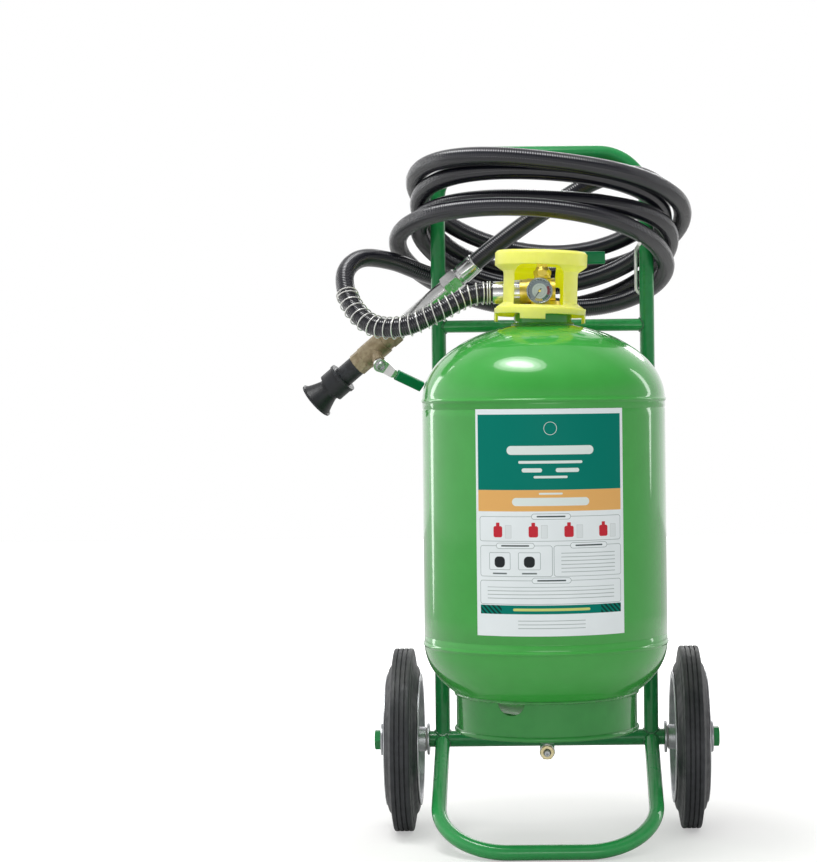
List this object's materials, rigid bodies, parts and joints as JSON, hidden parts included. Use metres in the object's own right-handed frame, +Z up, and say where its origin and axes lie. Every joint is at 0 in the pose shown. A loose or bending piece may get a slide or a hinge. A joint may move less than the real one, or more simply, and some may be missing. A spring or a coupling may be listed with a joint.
{
  "type": "wheeled fire extinguisher",
  "caption": "Green pressure vessel on a two-wheeled tube trolley, with a guarded lever valve, a coiled hose and a spray gun with its own lever.",
  "frame": {"origin": "on the ground, under the middle of the trolley's footprint without its hose", "axes": "+Z up, +X to the right seen from the front, -Y to the front, where the gauge and the vessel's label area face"},
  "size_m": [0.5393, 0.4716, 0.8905],
  "materials": {
    "tank_shell": "gloss green enamel",
    "foot_ring": "gloss green enamel",
    "neck_boss": "gloss green enamel",
    "push_frame": "gloss dark green enamel",
    "crossbar": "gloss dark green enamel",
    "upper_carrier": "gloss dark green enamel",
    "lower_carrier": "gloss dark green enamel",
    "front_stand": "gloss dark green enamel",
    "axle_tube": "gloss dark green enamel",
    "axle_rod": "gloss dark green enamel",
    "axle_washers": "gloss dark green enamel",
    "axle_nuts": "gloss dark green enamel",
    "earth_lug": "gloss dark green enamel",
    "earth_washer": "yellow zinc plate",
    "earth_nut": "yellow zinc plate",
    "hose_hook": "plated steel",
    "valve_body": "machined brass",
    "valve_end_cap": "machined brass",
    "valve_seats": "natural plastic",
    "neck_seal": "black seal",
    "bonnet_plug": "machined brass",
    "dip_tube": "natural plastic",
    "valve_ball": "plated steel",
    "valve_stem": "plated steel",
    "valve_lever": "plated steel",
    "valve_lever_grip": "dipped green grip",
    "valve_lever_nut": "plated steel",
    "gauge_case": "plated steel",
    "gauge_dial": "printed dial",
    "gauge_pointer": "black pointer",
    "gauge_lens": "clear lens",
    "valve_guard": "yellow moulded plastic",
    "hose_coupling": "plated steel",
    "hose_lead": "fine-ribbed black hose",
    "hose_spring": "plated steel",
    "hose_coil": "fine-ribbed black hose",
    "hose_tail": "fine-ribbed black hose",
    "hose_ferrule": "plated steel",
    "gun_nut": "plated steel",
    "gun_lance": "plated steel",
    "gun_valve_body": "worn cast brass",
    "gun_ball": "plated steel",
    "gun_stem": "plated steel",
    "gun_lever": "plated steel",
    "gun_lever_grip": "dipped green grip",
    "gun_lever_nut": "plated steel",
    "nozzle_sleeve": "moulded black plastic",
    "nozzle_collar": "moulded black plastic",
    "nozzle_horn": "moulded black plastic",
    "left_tyre": "black rubber tread",
    "left_rim": "zinc-plated pressed steel",
    "left_hub": "zinc-plated pressed steel",
    "left_bushes": "natural plastic",
    "right_tyre": "black rubber tread",
    "right_rim": "zinc-plated pressed steel",
    "right_hub": "zinc-plated pressed steel",
    "right_bushes": "natural plastic"
  },
  "bodies": {
    "trolley": {"tank_shell": "tank_shell", "foot_ring": "foot_ring", "neck_boss": "neck_boss", "push_frame": "push_frame", "crossbar": "crossbar", "upper_carrier": "upper_carrier", "lower_carrier": "lower_carrier", "front_stand": "front_stand", "axle_tube": "axle_tube", "axle_rod": "axle_rod", "axle_washers": "axle_washers", "axle_nuts": "axle_nuts", "earth_lug": "earth_lug", "earth_washer": "earth_washer", "earth_nut": "earth_nut", "hose_hook": "hose_hook", "valve_body": "valve_body", "valve_end_cap": "valve_end_cap", "valve_seats": "valve_seats", "neck_seal": "neck_seal", "bonnet_plug": "bonnet_plug", "dip_tube": "dip_tube", "gauge_case": "gauge_case", "gauge_dial": "gauge_dial", "gauge_pointer": "gauge_pointer", "gauge_lens": "gauge_lens", "valve_guard": "valve_guard", "hose_coupling": "hose_coupling", "hose_lead": "hose_lead", "hose_spring": "hose_spring", "hose_coil": "hose_coil", "hose_tail": "hose_tail", "hose_ferrule": "hose_ferrule", "gun_nut": "gun_nut", "gun_lance": "gun_lance", "gun_valve_body": "gun_valve_body", "nozzle_sleeve": "nozzle_sleeve", "nozzle_collar": "nozzle_collar", "nozzle_horn": "nozzle_horn"},
    "left_wheel": {"left_tyre": "left_tyre", "left_rim": "left_rim", "left_hub": "left_hub", "left_bushes": "left_bushes"},
    "right_wheel": {"right_tyre": "right_tyre", "right_rim": "right_rim", "right_hub": "right_hub", "right_bushes": "right_bushes"},
    "valve_lever_set": {"valve_ball": "valve_ball", "valve_stem": "valve_stem", "valve_lever": "valve_lever", "valve_lever_grip": "valve_lever_grip", "valve_lever_nut": "valve_lever_nut"},
    "gun_lever_set": {"gun_ball": "gun_ball", "gun_stem": "gun_stem", "gun_lever": "gun_lever", "gun_lever_grip": "gun_lever_grip", "gun_lever_nut": "gun_lever_nut"}
  },
  "joints": [
    {"name": "left_wheel_spin", "type": "hinge", "parent": "trolley", "child": "left_wheel", "pos_m": [-0.186, 0.096, 0.118], "axis": [1, 0, 0], "continuous": true},
    {"name": "right_wheel_spin", "type": "hinge", "parent": "trolley", "child": "right_wheel", "pos_m": [0.186, 0.096, 0.118], "axis": [1, 0, 0], "continuous": true},
    {"name": "valve_lever_turn", "type": "hinge", "parent": "trolley", "child": "valve_lever_set", "pos_m": [0, -0.064, 0.693], "axis": [0, -1, 0], "range_deg": [0, 90]},
    {"name": "gun_lever_turn", "type": "hinge", "parent": "trolley", "child": "gun_lever_set", "pos_m": [-0.21956, 0.09066, 0.62626], "axis": [-0.2425, 0.8325, 0.4981], "range_deg": [0, 90]}
  ]
}
